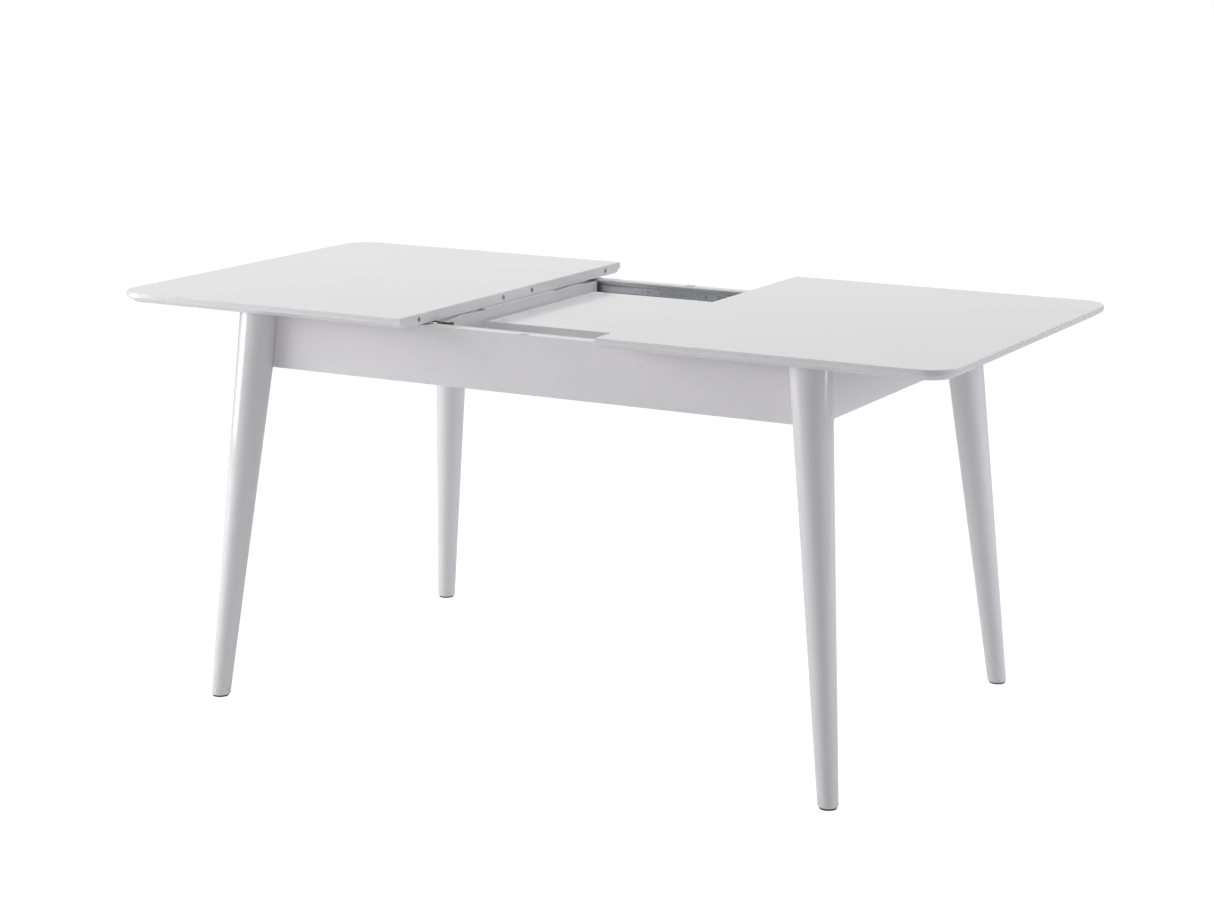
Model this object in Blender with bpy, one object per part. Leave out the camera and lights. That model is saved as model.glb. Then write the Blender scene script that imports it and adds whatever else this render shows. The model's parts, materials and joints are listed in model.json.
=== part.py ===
"""An extendable dining table with a folded leaf kept in its frame.

Two top halves run apart on ball slides screwed inside the long aprons. The leaf lies
folded in half on three cross rails. Everything is in metres, +Z up, +X along the table
towards the half that covers the folded leaf, and the origin is on the floor at the centre.
The table is drawn open, with a gap of GAP between its halves.
"""
import bpy
import bmesh
from math import cos, sin, radians, sqrt
from mathutils import Matrix, Vector

# Driving dimensions of the table
HEIGHT = 0.770
WIDTH = 0.800
HALF_LENGTH = 0.650
GAP = 0.400
CLEAR = 0.0003          # the gap left between pieces that touch
PAST = 0.010            # how far a cutter runs past the piece that it cuts

# Top halves
TOP_THICK = 0.020
RIM_HEIGHT = 0.0105     # the upright part of the rim, above the chamfer
CHAMFER_IN = 0.016
CORNER_RADIUS = 0.055
TOP_UNDER = HEIGHT - TOP_THICK
OUTER_X = GAP / 2 + HALF_LENGTH

# Frame
FRAME_TOP = TOP_UNDER - 0.0025
APRON_HEIGHT = 0.108
APRON_THICK = 0.020
APRON_X = 0.575         # outer face of an end apron
APRON_Y = 0.325         # outer face of a long apron
FRAME_LOW = FRAME_TOP - APRON_HEIGHT
FRAME_MIDDLE = 0.0065   # the left half is drawn this much further out than the right one
INNER_X = APRON_X - APRON_THICK
INNER_Y = APRON_Y - APRON_THICK

# Legs: round, tapered and splayed both ways
FOOT_X = 0.6432
FOOT_Y = 0.3959
SPLAY_X = 0.1004        # how far the axis leans in, per metre of height
SPLAY_Y = 0.0879
FOOT_RADIUS = 0.0177
LEG_TAPER = 0.0255      # radius gained per metre of height
PAD_THICK = 0.003
PAD_RADIUS = 0.0155

# Corner blocks and the bolts that pull the legs in
BLOCK_LOW = FRAME_LOW + 0.0055
BLOCK_HIGH = BLOCK_LOW + 0.060
BLOCK_THICK = 0.028
BLOCK_GAP = 0.001       # between the block and the leg
BOLT_Z = (BLOCK_LOW + BLOCK_HIGH) / 2
BOLT_RADIUS = 0.004
BOLT_HEAD_RADIUS = 0.0075
BOLT_HEAD_LENGTH = 0.0055
BOLT_IN_LEG = 0.022

# Folded leaf and the rails under it
LEAF_X = -0.153         # left edge of the folded leaf
LEAF_LENGTH = GAP - 0.001
LEAF_BOARD = WIDTH / 2 - 0.0005
LEAF_Y = -0.185         # fold edge
LEAF_TOP = HEIGHT - 0.032
LEAF_SPACE = 0.006      # between the two boards, for the hinges
LOWER_TOP = LEAF_TOP - TOP_THICK - LEAF_SPACE
LEAF_LOW = LOWER_TOP - TOP_THICK
RAIL_CENTRES = (-0.100, 0.075, 0.300)
RAIL_THICK = 0.020
RAIL_RAISED = 0.003     # above the aprons' lower edges

# Ball slides, given as depth from the apron's inner face and height from the slide's middle
SLIDE_Z = 0.730
SLIDE_WALL = 0.0012
CHANNEL_LENGTH = 1.040
CHANNEL_HALF = 0.0172
CHANNEL_DEPTH = 0.0090
LIP_REACH = 0.0132
RIB_HALF = 0.0063
RIB_DEPTH = 0.0030
MEMBER_LENGTH = 0.300
MEMBER_START = 0.015    # from the half's inner edge
MEMBER_HALF = 0.0105
MEMBER_BACK = 0.0049
MEMBER_FRONT = 0.0098
CAGE_LENGTH = 0.120
CAGE_CENTRE = 0.330
CAGE_BACK = 0.0034
CAGE_WALL = 0.0009
CAGE_FRONT = 0.0074
CAGE_HALF = 0.01375
BALL_RADIUS = 0.0022
BALL_HEIGHT = 0.01325
BALL_DEPTH = 0.0054
BALLS_IN_A_ROW = 4

# Battens under the halves
CLEAT_THICK = 0.020
CLEAT_LOW = 0.7125
CLEAT_START = 0.015
LOCK_ROOM = 0.050       # the front cleats start further out, beside the lock
BATTEN_FACE = -0.193
BATTEN_THICK = 0.018
BATTEN_FRONT = -0.264
BATTEN_BACK = 0.2925
# The relief of the batten's top: distance from the middle of the width, and drop
BATTEN_RELIEF = ((0.125, 0.0), (0.126, 0.0035), (0.205, 0.0005), (0.258, 0.0047))

# Dowels between the halves, and between them and the leaf
DOWEL_NEAR = 0.052      # from the middle of the table's width
DOWEL_FAR = 0.339
DOWEL_YS = (-DOWEL_FAR, -DOWEL_NEAR, DOWEL_NEAR, DOWEL_FAR)
DOWEL_RADIUS = 0.0039
DOWEL_HOLE = 0.0042
DOWEL_OUT = 0.011
DOWEL_IN = 0.013
DOWEL_HOLE_DEPTH = 0.014
DOWEL_Z = HEIGHT - TOP_THICK / 2

# Lock between the halves: a hook that swings to a post
PIVOT_X = -0.225
PIVOT_Y = -0.281
PLATE_THICK = 0.0015
PLATE_WIDTH = 0.022
BASE_LENGTH = 0.042
KEEPER_LENGTH = 0.0305
KEEPER_OFFSET = (0.00225, 0.0022, 0)    # of the keeper's plate from its post
PLATE_LOW = TOP_UNDER - CLEAR - PLATE_THICK
HOOK_HIGH = PLATE_LOW - 0.0006
HOOK_THICK = 0.0056
ARM_HALF = 0.0035
HOOK_TIP = 0.055        # from the pivot
BARB_START = 0.047
BARB_OUT = 0.006
EYE_RADIUS = 0.006      # of the hook round its pivot
EYE_OPEN = 36           # where the eye meets the arm, in degrees
PIN_RADIUS = 0.0022
PIN_HEAD_RADIUS = 0.0045
PIN_HEAD_THICK = 0.0012
POST_RADIUS = 0.0025
POST_X = GAP + PIVOT_X + 0.0425
POST_Y = -0.2682

# Leaf hinges
HINGE_XS = (LEAF_X + 0.100, LEAF_X + 0.300)
HINGE_LENGTH = 0.042
HINGE_WIDTH = 0.025
HINGE_THICK = 0.0014
KNUCKLE_RADIUS = 0.0027
KNUCKLE_ROOM = 0.001    # between a knuckle and the other plate's edge
HINGE_PIN = 0.0012
HINGE_BORE = 0.0015

# Glides on top of the long aprons
GLIDE_LENGTH = 0.018
GLIDE_WIDTH = 0.011
GLIDE_THICK = 0.0019
GLIDE_IN = 0.0075       # from the apron's outer face

SIDES = {"left": -1, "right": 1}
ENDS = {"front": -1, "back": 1}


def clear_scene():
    for obj in list(bpy.data.objects):
        bpy.data.objects.remove(obj, do_unlink=True)


def new_collection(name):
    collection = bpy.data.collections.new(name)
    bpy.context.scene.collection.children.link(collection)
    return collection


def new_material(name, colour, roughness, metallic=0.0):
    material = bpy.data.materials.new(name)
    material.use_nodes = True
    shader = material.node_tree.nodes["Principled BSDF"]
    shader.inputs["Base Color"].default_value = (*colour, 1.0)
    shader.inputs["Roughness"].default_value = roughness
    shader.inputs["Metallic"].default_value = metallic
    return material


clear_scene()
TABLE = new_collection("extendable_dining_table")
CUTTERS = new_collection("cutters")
LACQUER = new_material("white_lacquer", (0.78, 0.77, 0.79), 0.18)
TIMBER = new_material("pale_timber", (0.72, 0.70, 0.68), 0.5)
ZINC = new_material("zinc_steel", (0.45, 0.46, 0.47), 0.35, 1.0)
NYLON = new_material("white_nylon", (0.92, 0.92, 0.92), 0.4)
BEECH = new_material("beech_dowel", (0.66, 0.50, 0.33), 0.6)
BRONZE = new_material("bronzed_steel", (0.10, 0.075, 0.05), 0.4, 1.0)
PAD = new_material("dark_foot_pad", (0.06, 0.06, 0.06), 0.7)


def link(name, mesh, material=None):
    """An object of this mesh: one of the table's pieces if it has a material, else a cutter."""
    obj = bpy.data.objects.new(name, mesh)
    if material is None:
        CUTTERS.objects.link(obj)
        obj.hide_render = True
        obj.display_type = "WIRE"
    else:
        TABLE.objects.link(obj)
        obj.data.materials.append(material)
    return obj


def mesh_from(bm, name):
    bmesh.ops.recalc_face_normals(bm, faces=bm.faces)
    mesh = bpy.data.meshes.new(name)
    bm.to_mesh(mesh)
    bm.free()
    return mesh


def add_box(name, low, high, material=None):
    """A box between two corners, with its origin at its middle."""
    low, high = Vector(low), Vector(high)
    bm = bmesh.new()
    bmesh.ops.create_cube(bm, size=1, matrix=Matrix.Diagonal((*(high - low), 1)))
    obj = link(name, mesh_from(bm, name), material)
    obj.location = (low + high) / 2
    return obj


def add_bar(name, start, end, radius, material=None, sides=16, radius_end=None):
    """A round or many-sided bar between two points."""
    start, end = Vector(start), Vector(end)
    along = end - start
    bm = bmesh.new()
    bmesh.ops.create_cone(
        bm, cap_ends=True, segments=sides, radius1=radius, depth=along.length,
        radius2=radius if radius_end is None else radius_end,
    )
    obj = link(name, mesh_from(bm, name), material)
    obj.rotation_euler = along.to_track_quat("Z", "Y").to_euler()
    obj.location = (start + end) / 2
    obj.data.shade_smooth()
    obj.data.set_sharp_from_angle(angle=radians(40))
    return obj


def add_plate(name, outline, thick, place, material=None):
    """A flat outline given thickness either side of its plane, then set in its place."""
    curve = bpy.data.curves.new(name, "CURVE")
    curve.dimensions = "2D"
    curve.fill_mode = "BOTH"
    curve.extrude = thick / 2
    spline = curve.splines.new("POLY")
    spline.points.add(len(outline) - 1)
    for point, (x, y) in zip(spline.points, outline):
        point.co = (x, y, 0, 1)
    spline.use_cyclic_u = True
    drawn = bpy.data.objects.new(name + "_outline", curve)
    TABLE.objects.link(drawn)
    drawn.matrix_world = place
    bpy.context.view_layer.update()
    graph = bpy.context.evaluated_depsgraph_get()
    mesh = bpy.data.meshes.new_from_object(drawn.evaluated_get(graph))
    bm = bmesh.new()
    bm.from_mesh(mesh)
    bmesh.ops.remove_doubles(bm, verts=bm.verts, dist=1e-6)
    bmesh.ops.recalc_face_normals(bm, faces=bm.faces)
    bm.to_mesh(mesh)
    bm.free()
    bpy.data.objects.remove(drawn)
    obj = link(name, mesh, material)
    obj.matrix_world = place
    return obj


def boolean(piece, other, operation="DIFFERENCE"):
    modifier = piece.modifiers.new(operation.lower() + "_" + other.name, "BOOLEAN")
    modifier.operation = operation
    modifier.object = other


def upright(x, y, z):
    """Places an outline drawn in X and Y at this point, facing up."""
    return Matrix.Translation((x, y, z))


def across(x, y, z):
    """Places an outline so that its X runs along the table's Y, its Y up, and its depth along X."""
    turn = Matrix(((0, 0, 1, 0), (1, 0, 0, 0), (0, 1, 0, 0), (0, 0, 0, 1)))
    return Matrix.Translation((x, y, z)) @ turn


def cut_dowel_hole(board, label, edge, inward, y, z):
    """A hole for a dowel in a board's edge, running inwards along X."""
    start = (edge - inward * PAST, y, z)
    end = (edge + inward * DOWEL_HOLE_DEPTH, y, z)
    boolean(board, add_bar("cut_dowel_" + label, start, end, DOWEL_HOLE))


def make_half(side, sign):
    """One half of the top: round outer corners, and a rim chamfered underneath on three sides."""
    inner = GAP / 2
    spare = 2 * CHAMFER_IN      # extra length beyond the inner edge, cut off square at the end
    middle = sign * (OUTER_X + inner - spare) / 2
    bm = bmesh.new()
    place = Matrix.Translation((middle, 0, HEIGHT - RIM_HEIGHT / 2))
    size = Matrix.Diagonal((HALF_LENGTH + spare, WIDTH, RIM_HEIGHT, 1))
    bmesh.ops.create_cube(bm, size=1, matrix=place @ size)
    outer = [edge for edge in bm.edges if all(sign * vert.co.x > inner for vert in edge.verts)]
    corners = [edge for edge in outer if abs(edge.verts[0].co.z - edge.verts[1].co.z) > RIM_HEIGHT / 2]
    bmesh.ops.bevel(
        bm, geom=corners, offset=CORNER_RADIUS, segments=8, profile=0.5, affect="EDGES", material=-1,
    )
    under = [face for face in bm.faces if face.normal.z < -0.9]
    chamfer_height = TOP_THICK - RIM_HEIGHT
    bmesh.ops.inset_region(
        bm, faces=under, thickness=CHAMFER_IN, depth=chamfer_height, use_even_offset=True,
    )
    everything = bm.verts[:] + bm.edges[:] + bm.faces[:]
    bmesh.ops.bisect_plane(
        bm, geom=everything, plane_co=(sign * inner, 0, 0), plane_no=(sign, 0, 0), clear_inner=True,
    )
    bmesh.ops.holes_fill(bm, edges=[edge for edge in bm.edges if edge.is_boundary])
    top = link("top_half_" + side, mesh_from(bm, "top_half_" + side), LACQUER)
    for number, y in enumerate(DOWEL_YS, 1):
        cut_dowel_hole(top, f"{side}_{number}", sign * inner, sign, y, DOWEL_Z)


def add_dowel(name, edge, y, z):
    """A dowel glued into a board's left edge."""
    start, end = (edge - DOWEL_OUT, y, z), (edge + DOWEL_IN, y, z)
    add_bar(name, start, end, DOWEL_RADIUS, BEECH, sides=12)


def make_dowels():
    """The dowels of the right half, which enter the left half's holes when the table shuts."""
    for number, y in enumerate(DOWEL_YS, 1):
        add_dowel(f"dowel_{number}", GAP / 2, y, DOWEL_Z)


def leg_point(sx, sy, z):
    """A point on the leg's axis."""
    return Vector((sx * (FOOT_X - SPLAY_X * z), sy * (FOOT_Y - SPLAY_Y * z), z))


def leg_radius(z):
    return FOOT_RADIUS + LEG_TAPER * z


def add_leg_bar(name, sx, sy, extra, material=None):
    """The leg's cone, longer than the leg at both ends, with extra added to its radius."""
    low, high = -2 * PAST, FRAME_TOP + 2 * PAST
    return add_bar(
        name, leg_point(sx, sy, low), leg_point(sx, sy, high), leg_radius(low) + extra,
        material, sides=40, radius_end=leg_radius(high) + extra,
    )


def trim_level(obj, low, high):
    """Cuts a piece off level at two heights, and closes the cuts."""
    to_local = obj.matrix_world.inverted()
    turn = to_local.to_3x3()
    bm = bmesh.new()
    bm.from_mesh(obj.data)
    for height, facing in ((low, -1), (high, 1)):
        bmesh.ops.bisect_plane(
            bm, geom=bm.verts[:] + bm.edges[:] + bm.faces[:], plane_co=to_local @ Vector((0, 0, height)),
            plane_no=turn @ Vector((0, 0, facing)), clear_outer=True,
        )
        bmesh.ops.holes_fill(bm, edges=[edge for edge in bm.edges if edge.is_boundary])
    bm.to_mesh(obj.data)
    bm.free()


def make_corner(end, sy, side, sx):
    """A leg with its foot pad, and the block and bolt that hold it. Returns the aprons' cutters."""
    place = f"{end}_{side}"
    leg = add_leg_bar("leg_" + place, sx, sy, 0, LACQUER)
    bpy.context.view_layer.update()
    trim_level(leg, PAD_THICK + CLEAR, FRAME_TOP)
    foot = leg_point(sx, sy, 0)
    add_bar("foot_pad_" + place, foot, foot + Vector((0, 0, PAD_THICK)), PAD_RADIUS, PAD, sides=24)

    # The block's outer face stands just clear of the leg, square to the line from the corner.
    aim = leg_point(sx, sy, BOLT_Z)
    nearest = leg_point(sx, sy, BLOCK_HIGH)
    reach = abs(nearest.x) + abs(nearest.y) - sqrt(2) * (leg_radius(BLOCK_HIGH) + BLOCK_GAP)
    back = reach - sqrt(2) * BLOCK_THICK
    wall_x, wall_y = INNER_X - CLEAR, INNER_Y - CLEAR
    outline = [
        (sx * wall_x, sy * (reach - wall_x)), (sx * (reach - wall_y), sy * wall_y),
        (sx * (back - wall_y), sy * wall_y), (sx * wall_x, sy * (back - wall_x)),
    ]
    block = add_plate(
        "corner_block_" + place, outline, BLOCK_HIGH - BLOCK_LOW, upright(0, 0, BOLT_Z), TIMBER,
    )

    # The bolt runs level, at 45 degrees, towards the leg's axis.
    outward = Vector((sx, sy, 0)) / sqrt(2)
    seat = aim - outward * ((abs(aim.x) + abs(aim.y) - back) / sqrt(2))
    surface = aim - outward * leg_radius(BOLT_Z)
    tip = surface + outward * BOLT_IN_LEG
    bolt = add_bar(
        "leg_bolt_" + place, seat - outward * BOLT_HEAD_LENGTH / 2, tip, BOLT_RADIUS, ZINC, sides=12,
    )
    head = add_bar(
        "head_" + place, seat - outward * (BOLT_HEAD_LENGTH + CLEAR), seat - outward * CLEAR,
        BOLT_HEAD_RADIUS, sides=6,
    )
    boolean(bolt, head, "UNION")
    hole = add_bar(
        "cut_bolt_" + place, seat - outward * PAST, tip + outward * BLOCK_GAP, BOLT_RADIUS + CLEAR,
    )
    boolean(block, hole)
    boolean(leg, hole)
    return add_leg_bar("cut_leg_" + place, sx, sy, CLEAR), hole


def make_frame():
    cutters = {}
    for end, sy in ENDS.items():
        for side, sx in SIDES.items():
            cutters[end, side] = make_corner(end, sy, side, sx)
    for end, sy in ENDS.items():
        faces = sorted((sy * INNER_Y, sy * APRON_Y))
        apron = add_box(
            "apron_" + end, (-APRON_X, faces[0], FRAME_LOW), (APRON_X, faces[1], FRAME_TOP), LACQUER,
        )
        # Past the middle of each leg nothing is left of the apron.
        for side, sx in SIDES.items():
            xs = sorted((sx * INNER_X, sx * (APRON_X + PAST)))
            low = (xs[0], faces[0] - PAST, FRAME_LOW - PAST)
            high = (xs[1], faces[1] + PAST, FRAME_TOP + PAST)
            boolean(apron, add_box(f"cut_end_{end}_{side}", low, high))
            for cutter in cutters[end, side]:
                boolean(apron, cutter)
    for side, sx in SIDES.items():
        faces = sorted((sx * INNER_X, sx * APRON_X))
        apron = add_box(
            "apron_" + side, (faces[0], -APRON_Y, FRAME_LOW), (faces[1], APRON_Y, FRAME_TOP), LACQUER,
        )
        for end, sy in ENDS.items():
            ys = sorted((sy * INNER_Y, sy * (APRON_Y + PAST)))
            low = (faces[0] - PAST, ys[0], FRAME_LOW - PAST)
            high = (faces[1] + PAST, ys[1], FRAME_TOP + PAST)
            boolean(apron, add_box(f"cut_end_{side}_{end}", low, high))
            for cutter in cutters[end, side]:
                boolean(apron, cutter)


def make_leaf_rails():
    """Three cross rails between the long aprons, which the folded leaf lies on."""
    half, reach = RAIL_THICK / 2, INNER_Y - CLEAR
    low, high = FRAME_LOW + RAIL_RAISED, LEAF_LOW - CLEAR
    for number, x in enumerate(RAIL_CENTRES, 1):
        add_box(f"leaf_rail_{number}", (x - half, -reach, low), (x + half, reach, high), TIMBER)


def make_glides():
    """White nylon pads on the long aprons, which keep the halves off the lacquer."""
    low, high = FRAME_TOP + CLEAR, FRAME_TOP + CLEAR + GLIDE_THICK
    long, wide = GLIDE_LENGTH / 2, GLIDE_WIDTH / 2
    for end, sy in ENDS.items():
        y = sy * (APRON_Y - GLIDE_IN)
        add_box("glide_" + end, (-long, y - wide, low), (long, y + wide, high), NYLON)


def slide_place(sy, x):
    """Places a slide's section: its X is depth from the apron's inner face, its Y is up."""
    turn = Matrix(((0, 0, 1, 0), (-sy, 0, 0, 0), (0, 1, 0, 0), (0, 0, 0, 1)))
    return Matrix.Translation((x, sy * INNER_Y, SLIDE_Z)) @ turn


def both_ways(upper):
    """A section given by its upper half from the back to the front, closed by its mirror image."""
    return upper + [(depth, -height) for depth, height in reversed(upper)]


def channel_section():
    back, web = CLEAR, CLEAR + SLIDE_WALL
    inner = CHANNEL_HALF - SLIDE_WALL
    outside = [
        (RIB_DEPTH - SLIDE_WALL, RIB_HALF - SLIDE_WALL / 2), (back, RIB_HALF + SLIDE_WALL),
        (back, CHANNEL_HALF), (CHANNEL_DEPTH, CHANNEL_HALF), (CHANNEL_DEPTH, LIP_REACH),
    ]
    inside = [
        (CHANNEL_DEPTH - SLIDE_WALL, LIP_REACH), (CHANNEL_DEPTH - SLIDE_WALL, inner),
        (web, inner), (web, RIB_HALF + SLIDE_WALL * 1.5), (RIB_DEPTH, RIB_HALF),
    ]
    mirrored = [(depth, -height) for depth, height in reversed(outside + inside)]
    return outside + inside + mirrored


def member_section():
    inner = MEMBER_HALF - SLIDE_WALL
    outer = [(MEMBER_BACK, MEMBER_HALF), (MEMBER_FRONT, MEMBER_HALF)]
    inside = [(MEMBER_FRONT - SLIDE_WALL, inner), (MEMBER_BACK, inner)]
    return both_ways(outer) + [(depth, -height) for depth, height in reversed(inside)] + inside


def cage_section():
    inner = CAGE_HALF - CAGE_WALL
    back = CAGE_BACK + CAGE_WALL
    return both_ways([(CAGE_BACK, CAGE_HALF), (CAGE_FRONT, CAGE_HALF), (CAGE_FRONT, inner), (back, inner)])


def cage_centre(sx):
    """A cage rolls half as far as the half does, so it moves along by half as much as the frame."""
    return sx * CAGE_CENTRE + FRAME_MIDDLE / 2


def make_slides():
    for end, sy in ENDS.items():
        add_plate("slide_channel_" + end, channel_section(), CHANNEL_LENGTH, slide_place(sy, FRAME_MIDDLE), ZINC)
        for side, sx in SIDES.items():
            name = f"{end}_{side}"
            middle = sx * (GAP / 2 + MEMBER_START + MEMBER_LENGTH / 2)
            add_plate(
                "slide_member_" + name, member_section(), MEMBER_LENGTH, slide_place(sy, middle), ZINC,
            )
            cage_place = slide_place(sy, cage_centre(sx))
            cage = add_plate("ball_cage_" + name, cage_section(), CAGE_LENGTH, cage_place, ZINC)
            boolean(cage, add_balls("balls_" + name, cage_place), "UNION")


def add_balls(name, place):
    """Rows of balls above and below, to be held by a cage."""
    bm = bmesh.new()
    step = CAGE_LENGTH / BALLS_IN_A_ROW
    for number in range(BALLS_IN_A_ROW):
        along = (number + 0.5) * step - CAGE_LENGTH / 2
        for height in (-BALL_HEIGHT, BALL_HEIGHT):
            spot = place @ Matrix.Translation((BALL_DEPTH, height, along))
            bmesh.ops.create_uvsphere(bm, u_segments=10, v_segments=6, radius=BALL_RADIUS, matrix=spot)
    return link(name, mesh_from(bm, name))


def make_cleats():
    """Long battens under the halves, each screwed to a slide's moving member."""
    high = TOP_UNDER - CLEAR
    outer = INNER_Y - MEMBER_FRONT - CLEAR
    for end, sy in ENDS.items():
        ys = sorted((sy * outer, sy * (outer - CLEAT_THICK)))
        for side, sx in SIDES.items():
            start = LOCK_ROOM if end == "front" else CLEAT_START
            if side == "left":
                start = max(start, -BATTEN_FACE - GAP / 2 + BATTEN_THICK + CLEAR)
            xs = sorted((sx * (GAP / 2 + start), sx * (GAP / 2 + MEMBER_START + MEMBER_LENGTH)))
            add_box(f"cleat_{end}_{side}", (xs[0], ys[0], CLEAT_LOW), (xs[1], ys[1], high), TIMBER)


def make_batten():
    """The cross batten at the left half's inner edge. Its top is relieved either side of the middle."""
    high = TOP_UNDER - CLEAR
    back = [(y, high - drop) for y, drop in BATTEN_RELIEF]
    front = [(-y, high - drop) for y, drop in BATTEN_RELIEF]
    end_high = back[-1][1]
    outline = [(BATTEN_FRONT, CLEAT_LOW), (BATTEN_BACK, CLEAT_LOW), (BATTEN_BACK, end_high)]
    outline += back[::-1] + front + [(BATTEN_FRONT, end_high)]
    middle = BATTEN_FACE - BATTEN_THICK / 2
    add_plate("cross_batten", outline, BATTEN_THICK, across(middle, 0, 0), LACQUER)


def arc(centre, radius, start, end, steps):
    """Points on an arc, from one angle to another, in degrees."""
    turn = [radians(start + (end - start) * step / steps) for step in range(steps + 1)]
    return [(centre[0] + radius * cos(a), centre[1] + radius * sin(a)) for a in turn]


def make_lock():
    """A hook under the left half, which swings towards a post under the right half."""
    middle = PLATE_LOW + PLATE_THICK / 2
    hook_low = HOOK_HIGH - HOOK_THICK
    pivot = Vector((PIVOT_X, PIVOT_Y, 0))
    half_plate = Vector((BASE_LENGTH / 2, PLATE_WIDTH / 2, 0))
    low, high = Vector((0, 0, PLATE_LOW)), Vector((0, 0, PLATE_LOW + PLATE_THICK))
    base = add_box("lock_base", pivot - half_plate + low, pivot + half_plate + high, BRONZE)
    pin_low = hook_low - CLEAR - PIN_HEAD_THICK
    pin = add_bar("pin_lock", (PIVOT_X, PIVOT_Y, pin_low), (PIVOT_X, PIVOT_Y, middle), PIN_RADIUS)
    head = add_bar(
        "pin_head", (PIVOT_X, PIVOT_Y, pin_low), (PIVOT_X, PIVOT_Y, hook_low - CLEAR), PIN_HEAD_RADIUS,
    )
    boolean(base, pin, "UNION")
    boolean(base, head, "UNION")

    barb = ARM_HALF + BARB_OUT
    outline = arc((0, 0), EYE_RADIUS, EYE_OPEN, 360 - EYE_OPEN, 12)
    outline += [(HOOK_TIP, -ARM_HALF), (HOOK_TIP, barb), (BARB_START, barb), (BARB_START, ARM_HALF)]
    hook_place = upright(PIVOT_X, PIVOT_Y, HOOK_HIGH - HOOK_THICK / 2)
    hook = add_plate("lock_hook", outline, HOOK_THICK, hook_place, BRONZE)
    hole_ends = [(PIVOT_X, PIVOT_Y, height) for height in (hook_low - PAST, HOOK_HIGH + PAST)]
    boolean(hook, add_bar("cut_pivot", *hole_ends, PIN_RADIUS + CLEAR))

    post = Vector((POST_X, POST_Y, 0))
    half_plate = Vector((KEEPER_LENGTH / 2, PLATE_WIDTH / 2, 0))
    offset = Vector(KEEPER_OFFSET)
    keeper = add_box(
        "lock_keeper", post + offset - half_plate + low, post + offset + half_plate + high, BRONZE,
    )
    post_ends = [(POST_X, POST_Y, height) for height in (pin_low, middle)]
    boolean(keeper, add_bar("pin_keeper", *post_ends, POST_RADIUS), "UNION")


def leaf_section(show_face, under_face):
    """A leaf board's outline along Y: square at the fold, and with the halves' rim at the far end."""
    back = LEAF_Y + LEAF_BOARD
    up = 1 if show_face > under_face else -1
    return [
        (LEAF_Y, under_face), (back - CHAMFER_IN, under_face), (back, show_face - up * RIM_HEIGHT),
        (back, show_face), (LEAF_Y, show_face),
    ]


def make_leaf():
    """The leaf folded in half, undersides together, with two hinges at its front edge."""
    faces = {"lower": (LEAF_LOW, LOWER_TOP), "upper": (LEAF_TOP, LEAF_TOP - TOP_THICK)}
    right = LEAF_X + LEAF_LENGTH
    for level, (show_face, under_face) in faces.items():
        outline = leaf_section(show_face, under_face)
        middle = across(LEAF_X + LEAF_LENGTH / 2, 0, 0)
        board = add_plate("leaf_board_" + level, outline, LEAF_LENGTH, middle, LACQUER)
        z = (show_face + under_face) / 2
        for number, y in enumerate((LEAF_Y + DOWEL_NEAR, LEAF_Y + DOWEL_FAR), 1):
            add_dowel(f"leaf_dowel_{level}_{number}", LEAF_X, y, z)
            cut_dowel_hole(board, f"{level}_left_{number}", LEAF_X, 1, y, z)
            cut_dowel_hole(board, f"{level}_right_{number}", right, -1, y, z)
    for number, x in enumerate(HINGE_XS, 1):
        make_hinge(number, x)


def make_hinge(number, x):
    """A butt hinge between the folded boards: the lower plate has two knuckles and the pin."""
    axis_z = LOWER_TOP + LEAF_SPACE / 2
    third = HINGE_LENGTH / 3
    left, right = x - HINGE_LENGTH / 2, x + HINGE_LENGTH / 2
    plate_back = LEAF_Y + HINGE_WIDTH
    knuckle_back = LEAF_Y + KNUCKLE_RADIUS + KNUCKLE_ROOM
    knuckle_front = LEAF_Y - KNUCKLE_RADIUS - KNUCKLE_ROOM

    low = LOWER_TOP + CLEAR
    lower = add_box(
        f"leaf_hinge_lower_{number}", (left, LEAF_Y, low), (right, plate_back, low + HINGE_THICK), ZINC,
    )
    space = add_box(
        f"cut_knuckle_lower_{number}", (x - third / 2 - CLEAR, knuckle_front, low - PAST),
        (x + third / 2 + CLEAR, knuckle_back, low + PAST),
    )
    boolean(lower, space)
    for label, start in (("a", left), ("b", x + third / 2 + CLEAR)):
        ends = [(along, LEAF_Y, axis_z) for along in (start, start + third - CLEAR)]
        boolean(lower, add_bar(f"knuckle_{label}_{number}", *ends, KNUCKLE_RADIUS), "UNION")
    ends = [(along, LEAF_Y, axis_z) for along in (left + HINGE_PIN, right - HINGE_PIN)]
    boolean(lower, add_bar(f"hinge_pin_{number}", *ends, HINGE_PIN, sides=12), "UNION")

    high = LEAF_TOP - TOP_THICK - CLEAR
    upper = add_box(
        f"leaf_hinge_upper_{number}", (left, LEAF_Y, high - HINGE_THICK), (right, plate_back, high), ZINC,
    )
    for label, near, far in (("c", left - PAST, x - third / 2), ("d", x + third / 2, right + PAST)):
        corners = (near, knuckle_front, high - PAST), (far, knuckle_back, high + PAST)
        boolean(upper, add_box(f"cut_knuckle_{label}_{number}", *corners))
    ends = [(along, LEAF_Y, axis_z) for along in (x - third / 2, x + third / 2)]
    boolean(upper, add_bar(f"knuckle_{number}", *ends, KNUCKLE_RADIUS), "UNION")
    ends = [(along, LEAF_Y, axis_z) for along in (x - third, x + third)]
    boolean(upper, add_bar(f"cut_bore_{number}", *ends, HINGE_BORE, sides=12))


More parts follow.
